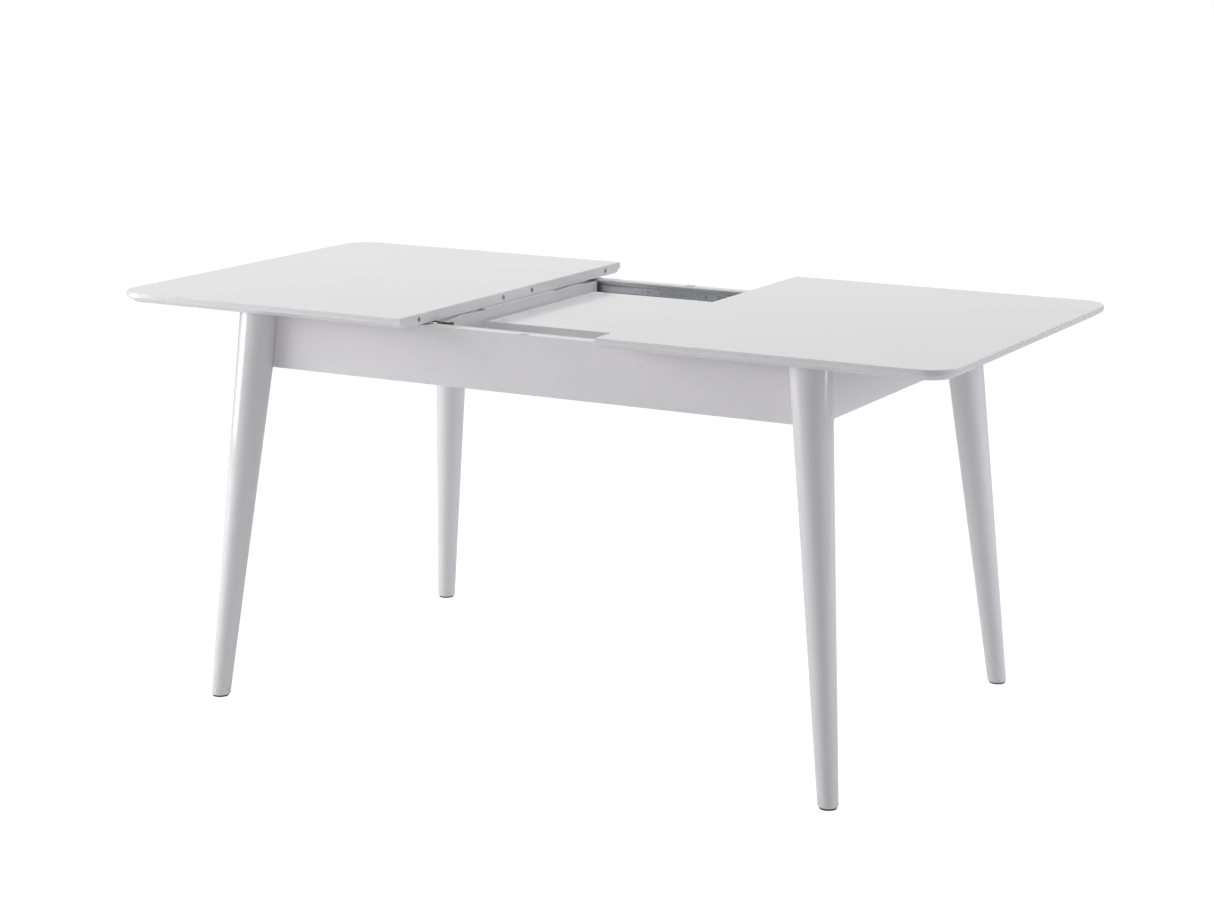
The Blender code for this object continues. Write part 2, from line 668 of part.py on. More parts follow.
def gather(name, place, pieces):
    """Parents the pieces that move together to an empty, which stands on their joint's axis."""
    empty = bpy.data.objects.new(name, None)
    TABLE.objects.link(empty)
    empty.location = place
    bpy.context.view_layer.update()
    for piece in pieces:
        world = piece.matrix_world.copy()
        piece.parent = empty
        piece.matrix_world = world


def gather_moving_pieces():
    pieces = {obj.name: obj for obj in TABLE.objects}
    for side, sx in SIDES.items():
        own = ["top_half", "cleat_front", "cleat_back", "slide_member_front", "slide_member_back"]
        own = [f"{name}_{side}" for name in own]
        extra = {"left": ["cross_batten", "lock_base"], "right": ["lock_keeper"]}[side]
        if side == "right":
            extra += [f"dowel_{number}" for number in range(1, len(DOWEL_YS) + 1)]
        gather("moving_half_" + side, (sx * GAP / 2, 0, TOP_UNDER), [pieces[name] for name in own + extra])
        cages = [pieces[f"ball_cage_{end}_{side}"] for end in ENDS]
        gather("moving_cages_" + side, (cage_centre(sx), 0, SLIDE_Z), cages)
    leaf_axis = (LEAF_X, LEAF_Y, LOWER_TOP + LEAF_SPACE / 2)
    for level, empty in (("lower", "moving_leaf"), ("upper", "moving_leaf_fold")):
        own = ["leaf_board_" + level]
        own += [f"leaf_{kind}_{level}_{number}" for kind in ("hinge", "dowel") for number in (1, 2)]
        gather(empty, leaf_axis, [pieces[name] for name in own])
    gather("moving_lock_hook", (PIVOT_X, PIVOT_Y, HOOK_HIGH), [pieces["lock_hook"]])


def set_frame_off_centre():
    """Moves all that stands so far, the frame and its cutters, along under the halves."""
    for obj in bpy.data.objects:
        obj.location.x += FRAME_MIDDLE


make_frame()
make_leaf_rails()
make_glides()
set_frame_off_centre()
for side_name, side_sign in SIDES.items():
    make_half(side_name, side_sign)
make_dowels()
make_slides()
make_cleats()
make_batten()
make_lock()
make_leaf()
gather_moving_pieces()
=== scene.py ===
# %% [markdown]
# # An extendable dining table, finished
# The table is already worked out as a frame of plain solids: two halves of a top that run apart
# on ball slides, a leaf folded away in the frame, four turned legs. This lesson gives those
# solids their finished surfaces. Wood has its arrises eased, steel is bent with a radius and
# never with a sharp corner, and lacquer has a faint skin of its own. None of that changes a size.

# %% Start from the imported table
import bmesh
import bpy
import json
from math import pi, radians
from mathutils import Matrix, Vector


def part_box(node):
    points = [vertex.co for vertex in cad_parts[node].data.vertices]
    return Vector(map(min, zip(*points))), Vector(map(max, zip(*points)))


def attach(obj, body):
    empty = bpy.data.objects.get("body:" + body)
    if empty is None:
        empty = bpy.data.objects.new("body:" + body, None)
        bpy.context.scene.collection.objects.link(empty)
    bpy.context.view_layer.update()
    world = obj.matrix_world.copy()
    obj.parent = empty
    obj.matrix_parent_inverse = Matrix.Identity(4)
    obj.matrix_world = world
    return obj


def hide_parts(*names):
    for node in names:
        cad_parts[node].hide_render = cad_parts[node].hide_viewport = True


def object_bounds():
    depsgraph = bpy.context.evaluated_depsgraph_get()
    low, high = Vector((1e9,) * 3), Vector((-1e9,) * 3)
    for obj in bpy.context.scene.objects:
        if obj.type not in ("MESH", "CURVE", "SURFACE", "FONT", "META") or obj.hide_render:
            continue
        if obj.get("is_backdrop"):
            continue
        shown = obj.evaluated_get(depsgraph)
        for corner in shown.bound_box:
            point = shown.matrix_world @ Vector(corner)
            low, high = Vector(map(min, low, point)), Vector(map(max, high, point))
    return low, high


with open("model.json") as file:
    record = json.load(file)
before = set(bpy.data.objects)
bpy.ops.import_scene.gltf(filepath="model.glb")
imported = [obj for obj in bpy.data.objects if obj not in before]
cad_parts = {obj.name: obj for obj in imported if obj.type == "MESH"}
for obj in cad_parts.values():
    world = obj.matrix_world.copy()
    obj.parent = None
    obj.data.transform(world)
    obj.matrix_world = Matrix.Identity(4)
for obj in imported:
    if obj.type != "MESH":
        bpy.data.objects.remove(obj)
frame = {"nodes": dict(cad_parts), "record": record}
table_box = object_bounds()
record = frame["record"]
BODY_OF = {node: body for body, nodes in record["behaviour"]["bodies"].items() for node in nodes}
SLOT_OF = {row["node"]: row["material_slot"] for row in record["subparts"]}
SIDES = {"left": -1, "right": 1}
ENDS = {"front": -1, "back": 1}
CORNERS = [(end, side) for end in ENDS for side in SIDES]

# %% [markdown]
# ## The camera
# A long lens from standing height, a little above the top, shows the legs nearly upright and
# the gap between the halves clearly. The lens is shifted a little, as on a view camera, so the
# table sits in the picture without being tilted. Depth of field stays off.

# %% Set up the camera
CAMERA_PLACE = (2.3271, -4.0938, 1.5234)
HEADING = radians(27.919)       # turned from +Y towards -X
LOOKING_DOWN = radians(12.809)
LEANING = radians(0.205)
LENS = 75.05                    # mm, on a 36 mm wide sensor
SHIFT = (-0.0620, 0.0046)

scene = bpy.context.scene


def link(thing):
    scene.collection.objects.link(thing)
    return thing


camera_data = bpy.data.cameras.new("view_camera")
camera_data.sensor_width = 36
camera_data.lens = LENS
camera_data.shift_x, camera_data.shift_y = SHIFT
camera = link(bpy.data.objects.new("view_camera", camera_data))
camera.matrix_world = (
    Matrix.Translation(CAMERA_PLACE)
    @ Matrix.Rotation(HEADING, 4, "Z")
    @ Matrix.Rotation(pi / 2 - LOOKING_DOWN, 4, "X")
    @ Matrix.Rotation(LEANING, 4, "Z")
)
scene.camera = camera
print("camera", round((camera.location - Vector((0, 0, 0.7))).length, 2), "m from the top")

# %% [markdown]
# ## Small tools for node trees
# Every finish and the studio itself are node trees. One function makes a node and sets its
# sockets, another joins two sockets, so a tree reads as a list of steps. An effect that several
# finishes share is a node group with named sockets, built once.

# %% Tools for node trees
def add_node(tree, kind, settings=None, **values):
    """A node of this kind. settings are its properties, values its unlinked sockets."""
    node = tree.nodes.new("ShaderNode" + kind)
    for name, value in (settings or {}).items():
        setattr(node, name, value)
    for name, value in values.items():
        node.inputs[name.replace("_", " ")].default_value = value
    return node


def join(tree, *pairs):
    for source, target in pairs:
        tree.links.new(source, target)


def math(tree, operation, first, second, clamp=False):
    """One sum on two inputs, each a number or a socket. Returns the answer's socket."""
    node = add_node(tree, "Math", {"operation": operation, "use_clamp": clamp})
    for place, value in enumerate((first, second)):
        if isinstance(value, (int, float)):
            node.inputs[place].default_value = value
        else:
            tree.links.new(value, node.inputs[place])
    return node.outputs[0]


def spread(tree, value, low, high, to_low=0.0, to_high=1.0):
    """Maps a value's range to another, and holds it there."""
    node = add_node(
        tree, "MapRange", None, From_Min=low, From_Max=high, To_Min=to_low, To_Max=to_high
    )
    tree.links.new(value, node.inputs["Value"])
    return node.outputs["Result"]


MIX_SHARE, MIX_FIRST, MIX_SECOND, MIX_RESULT = 0, 6, 7, 2   # a Mix node's sockets for colours


def colour_mix(tree, share, first, second):
    """Two colours mixed by a share. Each may be a colour or a socket."""
    node = add_node(tree, "Mix", {"data_type": "RGBA"})
    for place, value in ((MIX_SHARE, share), (MIX_FIRST, first), (MIX_SECOND, second)):
        if isinstance(value, bpy.types.NodeSocket):
            tree.links.new(value, node.inputs[place])
        else:
            node.inputs[place].default_value = value
    return node.outputs[MIX_RESULT]


def new_group(name, inputs, outputs):
    """A shader node group: its tree, its inputs' sockets and its outputs' sockets."""
    tree = bpy.data.node_groups.new(name, "ShaderNodeTree")
    for label, kind, value in inputs:
        socket = tree.interface.new_socket(label, in_out="INPUT", socket_type="NodeSocket" + kind)
        if value is not None:
            socket.default_value = value
    for label, kind in outputs:
        tree.interface.new_socket(label, in_out="OUTPUT", socket_type="NodeSocket" + kind)
    return tree, tree.nodes.new("NodeGroupInput").outputs, tree.nodes.new("NodeGroupOutput").inputs


# %% [markdown]
# ## The studio
# White lacquer shows nothing but the light on it, so the light does the modelling. A wide
# softbox overhead keeps the tops even. A strong one at the left wraps round each leg and leaves
# its middle grey, and a weaker, cooler one at the right lifts the far edge again. A faint one in
# front keeps the leaf's edge from going dark. The backdrop behind the table is bright, because
# the tops mirror it at a low angle. The floor is pale: it throws light back up, and to the camera
# it is nearly as white as the backdrop.

# %% Light the studio
WHITE, COOL = (1, 1, 1), (0.93, 0.96, 1)
SOFTBOXES = {                   # place, aim, size, watts and colour
    "overhead_softbox": ((-0.5, 0.5, 3.2), (0, 0, 0.7), (3.4, 2.6), 36, WHITE),
    "left_softbox": ((-3.4, -1.9, 1.3), (0, 0, 0.5), (2.4, 2.4), 96, WHITE),
    "right_softbox": ((3.6, 1.2, 1.5), (0.3, 0, 0.5), (2.0, 2.0), 50, COOL),
    "front_softbox": ((0.4, -4.4, 2.0), (0, 0, 0.6), (2.4, 1.4), 12, WHITE),
}
ROOM = 0.27                     # light from all round
BACKDROP = 0.92                 # what gloss mirrors behind the table
ROOM_IN_GLOSS = 0.30            # and in front of it
GLOSS_TURNS = (-0.2, 0.7)       # facing this far towards +Y, gloss goes over to the backdrop


def softbox(name, place, aim, size, watts, colour):
    light = bpy.data.lights.new(name, "AREA")
    light.shape = "RECTANGLE"
    light.size, light.size_y = size
    light.energy, light.color = watts, colour
    lamp = link(bpy.data.objects.new(name, light))
    lamp.location = place
    lamp.rotation_euler = (Vector(aim) - Vector(place)).to_track_quat("-Z", "Y").to_euler()


for name, values in SOFTBOXES.items():
    softbox(name, *values)

world = bpy.data.worlds.new("studio")
scene.world = world
world.use_nodes = True
room = world.node_tree
room.nodes.clear()
rays = add_node(room, "LightPath")
direction = add_node(room, "SeparateXYZ")
join(room, (add_node(room, "TexCoord").outputs["Generated"], direction.inputs[0]))
mirrored = spread(room, direction.outputs["Y"], *GLOSS_TURNS, ROOM_IN_GLOSS, BACKDROP)
lit = math(room, "MULTIPLY", rays.outputs["Is Glossy Ray"], math(room, "SUBTRACT", mirrored, ROOM))
lit = math(room, "ADD", lit, ROOM)
lit = math(room, "MAXIMUM", lit, rays.outputs["Is Camera Ray"])
backdrop = add_node(room, "Background", None, Color=(1, 1, 1, 1))
join(
    room,
    (lit, backdrop.inputs["Strength"]),
    (backdrop.outputs[0], add_node(room, "OutputWorld").inputs[0]),
)
scene.view_settings.view_transform = "Standard"
print("lit by", ", ".join(SOFTBOXES))

# %% Lay the floor
FLOOR_HALF = 60.0
FLOOR_BOUNCE = (0.86, 0.86, 0.87, 1)    # what it throws up at the table
FLOOR_SHADE = (0.14, 0.14, 0.14, 1)     # how much of a shadow on it is seen
FLOOR_GLOW = 0.93
FLOOR_SHINE, FLOOR_BLUR = (0.04, 0.04, 0.04, 1), 0.12

bm = bmesh.new()
bmesh.ops.create_grid(bm, x_segments=1, y_segments=1, size=FLOOR_HALF)
floor_mesh = bpy.data.meshes.new("studio_floor")
bm.to_mesh(floor_mesh)
bm.free()
floor = link(bpy.data.objects.new("studio_floor", floor_mesh))
floor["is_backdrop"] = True

floor_paint = bpy.data.materials.new("studio_floor")
floor_paint.use_nodes = True
floor_mesh.materials.append(floor_paint)
tree = floor_paint.node_tree
tree.nodes.clear()
bounce = add_node(tree, "BsdfDiffuse", None, Color=FLOOR_BOUNCE)
shade = add_node(tree, "BsdfDiffuse", None, Color=FLOOR_SHADE)
glow = add_node(tree, "Emission", None, Strength=FLOOR_GLOW)
mirror = add_node(tree, "BsdfGlossy", None, Color=FLOOR_SHINE, Roughness=FLOOR_BLUR)
seen = [tree.nodes.new("ShaderNodeAddShader") for _ in range(2)]
mixed = add_node(tree, "MixShader")
join(
    tree,
    (shade.outputs[0], seen[0].inputs[0]), (glow.outputs[0], seen[0].inputs[1]),
    (seen[0].outputs[0], seen[1].inputs[0]), (mirror.outputs[0], seen[1].inputs[1]),
    (add_node(tree, "LightPath").outputs["Is Camera Ray"], mixed.inputs[0]),
    (bounce.outputs[0], mixed.inputs[1]), (seen[1].outputs[0], mixed.inputs[2]),
    (mixed.outputs[0], add_node(tree, "OutputMaterial").inputs[0]),
)
print("floor", 2 * FLOOR_HALF, "m across")

# %% [markdown]
# ## Effects that several finishes share
# Sprayed lacquer dries with a very fine unevenness, orange peel, and pulls thin over an arris.
# On white lacquer the arris is also made lighter, as a painted highlight.
# Timber has long figure and short pores. Drawn and plated steel has streaks along its length
# and a cloudy spangle. Each is a group that gives out masks and heights, and each finish uses
# them with its own values. An arris is known by a face attribute that the modelling sets.

# %% Orange peel, and an arris mask for wear and painted highlight
peel, given, result = new_group(
    "sprayed_skin",
    [
        ("Vector", "Vector", None), ("Peel Size", "Float", 0.004),
        # Thinning scales the arris mask: wear on timber, fleck on plastic, painted highlight on
        # lacquer
        ("Arris", "Float", 0.0), ("Thinning", "Float", 0.5),
    ],
    [("Height", "Float"), ("Tone", "Float"), ("Dullness", "Float"), ("Wear_And_Highlight", "Float")],
)
per_metre = math(peel, "DIVIDE", 1.0, given["Peel Size"])
skin_noise = add_node(peel, "TexNoise", None, Detail=2.0, Roughness=0.45)
cloud = add_node(peel, "TexNoise", None, Scale=3.5, Detail=3.0, Roughness=0.5)
patch = add_node(peel, "TexNoise", None, Scale=90.0, Detail=3.0, Roughness=0.6)
for noise in (skin_noise, cloud, patch):
    join(peel, (given["Vector"], noise.inputs["Vector"]))
join(peel, (per_metre, skin_noise.inputs["Scale"]), (skin_noise.outputs[0], result["Height"]))
join(peel, (spread(peel, cloud.outputs[0], 0.3, 0.7), result["Tone"]))
join(peel, (spread(peel, patch.outputs[0], 0.35, 0.75), result["Dullness"]))
# The arris mask, broken up by patches: wear on timber, fleck on plastic, painted highlight on
# lacquer
arris_wear_and_highlight = math(peel, "MULTIPLY", given["Arris"], spread(peel, patch.outputs[0], 0.40, 0.62, 0.25, 1.0))
join(peel, (math(peel, "MULTIPLY", arris_wear_and_highlight, given["Thinning"]), result["Wear_And_Highlight"]))

# %% Wood figure
figure, given, result = new_group(
    "wood_figure",
    [("Vector", "Vector", None), ("Ring Width", "Float", 0.006)],
    [("Rings", "Float"), ("Pores", "Float")],
)
wander = add_node(figure, "TexNoise", None, Scale=6.0, Detail=3.0)
bent = add_node(figure, "VectorMath", {"operation": "MULTIPLY_ADD"})
bent.inputs[1].default_value = (0.02, 0.02, 0.02)
rings = add_node(
    figure, "TexWave", {"wave_type": "RINGS", "rings_direction": "Z"}, Distortion=1.5, Detail=2.0
)
pores = add_node(figure, "TexNoise", None, Scale=900.0, Detail=2.0)
join(
    figure,
    (given["Vector"], wander.inputs["Vector"]), (wander.outputs["Color"], bent.inputs[0]),
    (given["Vector"], bent.inputs[2]), (bent.outputs[0], rings.inputs["Vector"]),
    (math(figure, "DIVIDE", 0.3, given["Ring Width"]), rings.inputs["Scale"]),
    (rings.outputs["Fac"], result["Rings"]), (given["Vector"], pores.inputs["Vector"]),
    (spread(figure, pores.outputs[0], 0.52, 0.66), result["Pores"]),
)

# %% Drawn steel
drawn, given, result = new_group(
    "drawn_steel",
    [("Vector", "Vector", None), ("Spangle Size", "Float", 0.004)],
    [("Streaks", "Float"), ("Spangle", "Float"), ("Stain", "Float")],
)
along = add_node(drawn, "Mapping", None, Scale=(6.0, 900.0, 900.0))
streaks = add_node(drawn, "TexNoise", None, Scale=1.0, Detail=4.0, Roughness=0.7)
spangle = add_node(drawn, "TexVoronoi", {"feature": "SMOOTH_F1"}, Smoothness=0.4)
stain = add_node(drawn, "TexNoise", None, Scale=38.0, Detail=4.0, Roughness=0.65)
join(
    drawn,
    (given["Vector"], along.inputs["Vector"]), (along.outputs[0], streaks.inputs["Vector"]),
    (given["Vector"], spangle.inputs["Vector"]), (given["Vector"], stain.inputs["Vector"]),
    (math(drawn, "DIVIDE", 1.0, given["Spangle Size"]), spangle.inputs["Scale"]),
    (spread(drawn, streaks.outputs[0], 0.3, 0.7), result["Streaks"]),
    (spangle.outputs["Distance"], result["Spangle"]),
    (spread(drawn, stain.outputs[0], 0.45, 0.75), result["Stain"]),
)
print("shared effects:", [group.name for group in bpy.data.node_groups])

# %% [markdown]
# ## The finishes
# Seven finishes cover the table. Each has its own small function. The Principled shader stays
# in the material, with what is the same all over, such as metal or coat, set on its sockets.

# %% Tools for finishes
def new_finish(name, **shader_values):
    """A material with a Principled shader. Returns it with its tree, shader and coordinates."""
    material = bpy.data.materials.new(name)
    material.use_nodes = True
    tree = material.node_tree
    shader = tree.nodes["Principled BSDF"]
    for label, value in shader_values.items():
        shader.inputs[label.replace("_", " ")].default_value = value
    return material, tree, shader, add_node(tree, "TexCoord").outputs["Object"]


def use_group(tree, group, vector, **values):
    node = add_node(tree, "Group", {"node_tree": group})
    for name, value in values.items():
        node.inputs[name.replace("_", " ")].default_value = value
    join(tree, (vector, node.inputs["Vector"]))
    return node


def emboss(tree, shader, height, depth):
    """Gives the shader a bump this deep, in metres."""
    bump = add_node(tree, "Bump", None, Distance=depth)
    join(tree, (height, bump.inputs["Height"]), (bump.outputs[0], shader.inputs["Normal"]))


def stretch(tree, vector, scale):
    mapping = add_node(tree, "Mapping", None, Scale=scale)
    join(tree, (vector, mapping.inputs["Vector"]))
    return mapping.outputs[0]


# %% White lacquer
LACQUER_WHITE = (0.785, 0.772, 0.790, 1)
LACQUER_SHADE = (0.768, 0.755, 0.773, 1)
# painted highlight: the white lacquer is made lighter on the eased arrises, where they catch light
ARRIS_HIGHLIGHT_WHITE = (0.83, 0.82, 0.83, 1)
SCUFF = (0.42, 0.41, 0.42, 1)
LACQUER_ROUGH = 0.09
LACQUER_SKIN_DEPTH = 0.000012
FOOT_MARKS_TOP = 0.11           # scuffs are left by shoes and brooms, low on the legs


def white_lacquer(name, grain=None, scuffed=False):
    """Gloss white lacquer. grain stretches the wood's figure along a solid piece's length.
    scuffed adds marks near the floor."""
    material, tree, shader, place = new_finish(name, Coat_Weight=0.2, Coat_Roughness=0.04, IOR=1.5)
    # Thinning here sets how strong the painted highlight on the arrises is
    skin = use_group(tree, peel, place, Peel_Size=0.0035, Thinning=0.55)
    arris = add_node(tree, "Attribute", {"attribute_name": "arris"})
    join(tree, (arris.outputs["Fac"], skin.inputs["Arris"]))
    colour = colour_mix(tree, skin.outputs["Tone"], LACQUER_WHITE, LACQUER_SHADE)
    # painted highlight: the arrises are lightened, on top of the bright line the bevel itself
    # catches
    colour = colour_mix(tree, skin.outputs["Wear_And_Highlight"], colour, ARRIS_HIGHLIGHT_WHITE)
    height = math(tree, "MULTIPLY", skin.outputs["Height"], 0.3)
    if grain:
        wood = use_group(tree, figure, stretch(tree, place, grain), Ring_Width=0.010)
        faint = math(tree, "MULTIPLY", wood.outputs["Rings"], 0.10)
        colour = colour_mix(tree, faint, colour, LACQUER_SHADE)
        height = math(tree, "ADD", height, math(tree, "MULTIPLY", wood.outputs["Pores"], -0.25))
    if scuffed:
        height_up = add_node(tree, "SeparateXYZ")
        join(tree, (place, height_up.inputs[0]))
        low = spread(tree, height_up.outputs["Z"], FOOT_MARKS_TOP, 0.02)
        marks = add_node(tree, "TexNoise", None, Scale=260.0, Detail=2.0)
        join(tree, (place, marks.inputs["Vector"]))
        marks = spread(tree, marks.outputs[0], 0.66, 0.72)
        colour = colour_mix(tree, math(tree, "MULTIPLY", low, marks), colour, SCUFF)
    join(tree, (colour, shader.inputs["Base Color"]))
    rough = math(tree, "MULTIPLY", skin.outputs["Dullness"], 0.03)
    join(tree, (math(tree, "ADD", rough, LACQUER_ROUGH), shader.inputs["Roughness"]))
    emboss(tree, shader, height, LACQUER_SKIN_DEPTH)
    return material


# %% Primed timber and raw beech
PRIMER, PRIMER_OVER_GRAIN = (0.74, 0.73, 0.72, 1), (0.64, 0.62, 0.59, 1)
RUBBED_TO_WOOD = (0.62, 0.52, 0.40, 1)
BEECH, BEECH_RING, BEECH_PORE = (0.70, 0.53, 0.35, 1), (0.55, 0.38, 0.23, 1), (0.35, 0.22, 0.13, 1)


def primed_timber():
    """Rails, cleats and blocks under the top get one matt coat that the grain shows through."""
    material, tree, shader, place = new_finish("primed_timber", IOR=1.45)
    wood = use_group(tree, figure, stretch(tree, place, (0.15, 1, 1)), Ring_Width=0.007)
    skin = use_group(tree, peel, place, Peel_Size=0.002, Thinning=0.7)
    arris = add_node(tree, "Attribute", {"attribute_name": "arris"})
    join(tree, (arris.outputs["Fac"], skin.inputs["Arris"]))
    share = math(tree, "MULTIPLY", wood.outputs["Rings"], 0.35)
    colour = colour_mix(tree, share, PRIMER, PRIMER_OVER_GRAIN)
    colour = colour_mix(tree, skin.outputs["Wear_And_Highlight"], colour, RUBBED_TO_WOOD)
    join(tree, (colour, shader.inputs["Base Color"]))
    join(tree, (spread(tree, wood.outputs["Pores"], 0, 1, 0.5, 0.65), shader.inputs["Roughness"]))
    height = math(tree, "SUBTRACT", skin.outputs["Height"], wood.outputs["Pores"])
    emboss(tree, shader, height, 0.00012)
    return material


def raw_beech():
    """Dowels are left bare, because glue holds on wood and not on paint."""
    material, tree, shader, place = new_finish("raw_beech", IOR=1.45)
    wood = use_group(tree, figure, stretch(tree, place, (0.12, 1, 1)), Ring_Width=0.0016)
    colour = colour_mix(tree, wood.outputs["Rings"], BEECH, BEECH_RING)
    pore_share = math(tree, "MULTIPLY", wood.outputs["Pores"], 0.5)
    colour = colour_mix(tree, pore_share, colour, BEECH_PORE)
    join(tree, (colour, shader.inputs["Base Color"]))
    join(tree, (spread(tree, wood.outputs["Pores"], 0, 1, 0.6, 0.75), shader.inputs["Roughness"]))
    emboss(tree, shader, wood.outputs["Rings"], 0.00008)
    return material


# %% Zinc and bronzed steel
def plated_steel(name, bright, dull, stained, rough):
    """Plated steel: two tones in its spangle, a stain, and streaks along its length."""
    material, tree, shader, place = new_finish(name, Metallic=1.0)
    steel = use_group(tree, drawn, place, Spangle_Size=0.0045)
    colour = colour_mix(tree, steel.outputs["Spangle"], bright, dull)
    streak = math(tree, "MULTIPLY", steel.outputs["Streaks"], 0.35)
    colour = colour_mix(tree, streak, colour, dull)
    stain_share = math(tree, "MULTIPLY", steel.outputs["Stain"], 0.45)
    colour = colour_mix(tree, stain_share, colour, stained)
    join(tree, (colour, shader.inputs["Base Color"]))
    dullness = spread(tree, steel.outputs["Streaks"], 0, 1, rough - 0.06, rough + 0.10)
    join(tree, (dullness, shader.inputs["Roughness"]))
    emboss(tree, shader, steel.outputs["Streaks"], 0.00002)
    return material


# %% Nylon and foot rubber
def moulded(name, colour, flecked, rough, fine):
    """A moulded plastic or rubber with a fine sparked texture."""
    material, tree, shader, place = new_finish(name, IOR=1.5)
    skin = use_group(tree, peel, place, Peel_Size=fine, Thinning=0.6)
    arris = add_node(tree, "Attribute", {"attribute_name": "arris"})
    join(tree, (arris.outputs["Fac"], skin.inputs["Arris"]))
    tone = colour_mix(tree, skin.outputs["Tone"], colour, flecked)
    join(tree, (colour_mix(tree, skin.outputs["Wear_And_Highlight"], tone, flecked), shader.inputs["Base Color"]))
    dullness = spread(tree, skin.outputs["Dullness"], 0, 1, rough, rough + 0.12)
    join(tree, (dullness, shader.inputs["Roughness"]))
    emboss(tree, shader, skin.outputs["Height"], 0.00005)
    return material


# %% Make the finishes
LONG_GRAIN = (0.08, 1, 1)
CROSS_GRAIN = (1, 0.08, 1)
UPRIGHT_GRAIN = (1, 1, 0.08)
FINISHES = {
    "white_lacquer": white_lacquer("lacquer_on_board"),
    "pale_timber": primed_timber(),
    "zinc_steel": plated_steel(
        "zinc_plate", bright=(0.66, 0.67, 0.69, 1), dull=(0.50, 0.51, 0.53, 1),
        stained=(0.40, 0.41, 0.43, 1), rough=0.34,
    ),
    "bronzed_steel": plated_steel(
        "bronzed_steel", bright=(0.16, 0.12, 0.075, 1), dull=(0.09, 0.07, 0.05, 1),
        stained=(0.045, 0.036, 0.03, 1), rough=0.38,
    ),
    "white_nylon": moulded(
        "white_nylon", colour=(0.90, 0.90, 0.90, 1), flecked=(0.82, 0.82, 0.81, 1),
        rough=0.32, fine=0.0012,
    ),
    "beech_dowel": raw_beech(),
    "dark_foot_pad": moulded(
        "foot_rubber", colour=(0.050, 0.050, 0.052, 1), flecked=(0.085, 0.083, 0.08, 1),
        rough=0.62, fine=0.0008,
    ),
}
LEG_LACQUER = white_lacquer("lacquer_on_legs", UPRIGHT_GRAIN, scuffed=True)
LONG_LACQUER = white_lacquer("lacquer_on_long_aprons", LONG_GRAIN)
CROSS_LACQUER = white_lacquer("lacquer_on_end_aprons", CROSS_GRAIN)
print(len(bpy.data.materials), "materials")

# %% [markdown]
# ## Tools for pieces
# A joiner eases every arris with a stroke of sandpaper, and a spray of lacquer rounds it more.
# In a model that is a narrow bevel, which catches the light as a thin bright line. The faces of
# each bevel are marked, so that a finish can change there: timber shows wear, and white lacquer
# gets a painted highlight. Large flats stay flat in the shading, because a Weighted Normal
# modifier gives them the say over the narrow bevels.

# %% Tools for pieces
SHARP = radians(30)
SMOOTH_BELOW = radians(38)      # shading runs on over edges that turn less than this
LEVEL = 1e-5                    # points this close to a plane lie on it
PAST = 0.01                     # how far a cutter runs past what it cuts
X, Z = 0, 2


def start():
    """A new bmesh that can mark its arrises."""
    bm = bmesh.new()
    bm.faces.layers.float.new("arris")
    return bm


def sharp_edges(bm, least=SHARP):
    return [edge for edge in bm.edges if edge.is_manifold and edge.calc_face_angle() > least]


def lies_at(edge, axis, place):
    """Whether both ends of an edge are at this place on an axis."""
    return all(abs(vert.co[axis] - place) < LEVEL for vert in edge.verts)


def ease(bm, edges, width, segments=3):
    """Rounds edges over, and marks the new faces as arrises."""
    arris = bm.faces.layers.float["arris"]
    made = bmesh.ops.bevel(
        bm, geom=list(edges), offset=width, segments=segments, profile=0.5, affect="EDGES",
        clamp_overlap=True, material=-1,
    )
    for face in made["faces"]:
        face[arris] = 1.0


def block(bm, low, high):
    """Adds a plain block between two corners."""
    low, high = Vector(low), Vector(high)
    place = Matrix.Translation((low + high) / 2) @ Matrix.Diagonal((*(high - low), 1))
    bmesh.ops.create_cube(bm, size=1, matrix=place)


def round_bar(bm, start_point, end_point, radius, end_radius=None, sides=32):
    """Adds a round bar between two points."""
    start_point, end_point = Vector(start_point), Vector(end_point)
    along = end_point - start_point
    turned = along.to_track_quat("Z", "Y").to_matrix().to_4x4()
    bmesh.ops.create_cone(
        bm, cap_ends=True, segments=sides, radius1=radius, radius2=end_radius or radius,
        depth=along.length, matrix=Matrix.Translation((start_point + end_point) / 2) @ turned,
    )


def temporary(bm):
    """An object for a bmesh, only to cut or join with."""
    mesh = bpy.data.meshes.new("working")
    bm.to_mesh(mesh)
    bm.free()
    return link(bpy.data.objects.new("working", mesh))


def combine(bm, tool, operation="DIFFERENCE"):
    """Cuts or joins one bmesh with another, and gives back the result."""
    work, other = temporary(bm), temporary(tool)
    modifier = work.modifiers.new("work", "BOOLEAN")
    modifier.operation, modifier.object = operation, other
    bpy.context.view_layer.update()
    graph = bpy.context.evaluated_depsgraph_get()
    mesh = bpy.data.meshes.new_from_object(work.evaluated_get(graph))
    result = bmesh.new()
    result.from_mesh(mesh)
    if "arris" not in result.faces.layers.float:
        result.faces.layers.float.new("arris")
    for thing in (work, other):
        used = thing.data
        bpy.data.objects.remove(thing)
        bpy.data.meshes.remove(used)
    bpy.data.meshes.remove(mesh)
    return result


